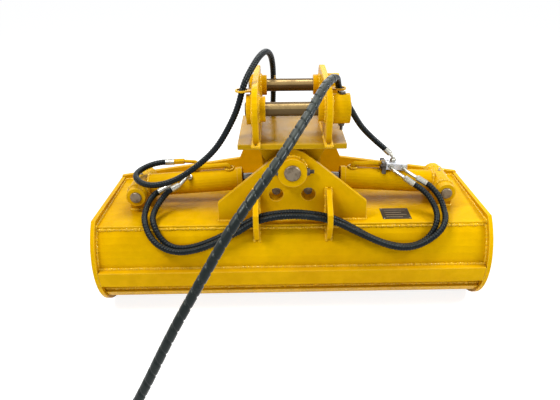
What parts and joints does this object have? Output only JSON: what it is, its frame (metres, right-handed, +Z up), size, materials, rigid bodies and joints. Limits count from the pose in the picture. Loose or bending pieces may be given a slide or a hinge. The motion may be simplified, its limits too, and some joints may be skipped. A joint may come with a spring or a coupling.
{
  "type": "excavator tilt bucket",
  "caption": "Wide excavator ditching bucket with a headstock that twin hydraulic cylinders tilt about a central pin, with hydraulic hoses.",
  "frame": {"origin": "middle of the bounding box on the ground, without the hoses", "axes": "+X across the bucket to the right seen from the digger, +Y towards the mouth and cutting edge, +Z up"},
  "size_m": [1.595, 1.4445, 0.9876],
  "materials": {
    "paint": "glossy",
    "steel": "satin",
    "chrome": "polished",
    "zinc": "satin",
    "rubber": "satin"
  },
  "bodies": {
    "bucket": {"shell": "paint", "top_deck": "paint", "side_plate_left": "paint", "side_plate_right": "paint", "cutting_edge": "paint", "lip_bar": "paint", "heel_wear_plate": "paint", "heel_strip": "paint", "front_hinge_plate": "paint", "rear_hinge_plate": "paint", "front_pin_boss": "paint", "tilt_pin": "steel", "tilt_pin_bolt": "steel", "hose_rib_left": "paint", "hose_rib_right": "paint", "cylinder_lug_left_back": "paint", "cylinder_lug_left_front": "paint", "cylinder_lug_right_back": "paint", "cylinder_lug_right_front": "paint", "cylinder_pin_left": "steel", "cylinder_pin_right": "steel", "cross_hose_low": "rubber", "cross_hose_high": "rubber", "supply_hose_left": "rubber", "supply_hose_right": "rubber", "coupler_left": "zinc", "coupler_right": "zinc"},
    "headstock": {"headstock_base": "paint", "ear_left": "paint", "ear_right": "paint", "near_boss_left": "paint", "near_boss_right": "paint", "far_boss_left": "paint", "far_boss_right": "paint", "near_pin": "steel", "far_pin": "steel", "near_pin_bolt": "steel", "pivot_tube": "paint", "rod_clevis_back": "paint", "rod_clevis_front": "paint", "hose_guide_left": "paint", "hose_guide_right": "paint"},
    "cylinder_left": {"barrel_left": "paint", "gland_left": "paint", "oil_pipe_left": "paint", "low_hose_end_left": "zinc", "high_hose_end_left": "zinc", "supply_hose_end_left": "zinc"},
    "cylinder_right": {"barrel_right": "paint", "gland_right": "paint", "oil_pipe_right": "paint", "valve_block": "zinc", "low_hose_end_right": "zinc", "high_hose_end_right": "zinc", "supply_hose_end_right": "zinc"},
    "rod_left": {"rod_left": "chrome", "rod_eye_left": "paint"},
    "rod_right": {"rod_right": "chrome", "rod_eye_right": "paint"}
  },
  "joints": [
    {"name": "tilt", "type": "hinge", "parent": "bucket", "child": "headstock", "pos_m": [0, -0.065, 0.59], "axis": [0, 1, 0], "range_deg": [-40, 40], "deforming": ["supply_hose_left", "supply_hose_right"]},
    {"name": "swing_left", "type": "hinge", "parent": "bucket", "child": "cylinder_left", "pos_m": [-0.6, -0.065, 0.458], "axis": [0, 1, 0], "range_deg": [-4.7, 4.7], "deforming": ["cross_hose_low", "cross_hose_high"]},
    {"name": "swing_right", "type": "hinge", "parent": "bucket", "child": "cylinder_right", "pos_m": [0.6, -0.065, 0.458], "axis": [0, 1, 0], "range_deg": [-4.7, 4.7]},
    {"name": "stroke_left", "type": "slide", "parent": "cylinder_left", "child": "rod_left", "axis": [0.9979, 0, 0.0647], "range_m": [-0.059, 0.059]},
    {"name": "stroke_right", "type": "slide", "parent": "cylinder_right", "child": "rod_right", "axis": [-0.9979, 0, 0.0647], "range_m": [-0.059, 0.059]}
  ],
  "couplings": [
    {"joint": "swing_left", "follows": "tilt", "ratio": -0.1163},
    {"joint": "swing_right", "follows": "tilt", "ratio": -0.1163},
    {"joint": "stroke_left", "follows": "tilt", "m_per_rad": -0.083},
    {"joint": "stroke_right", "follows": "tilt", "m_per_rad": 0.083}
  ]
}
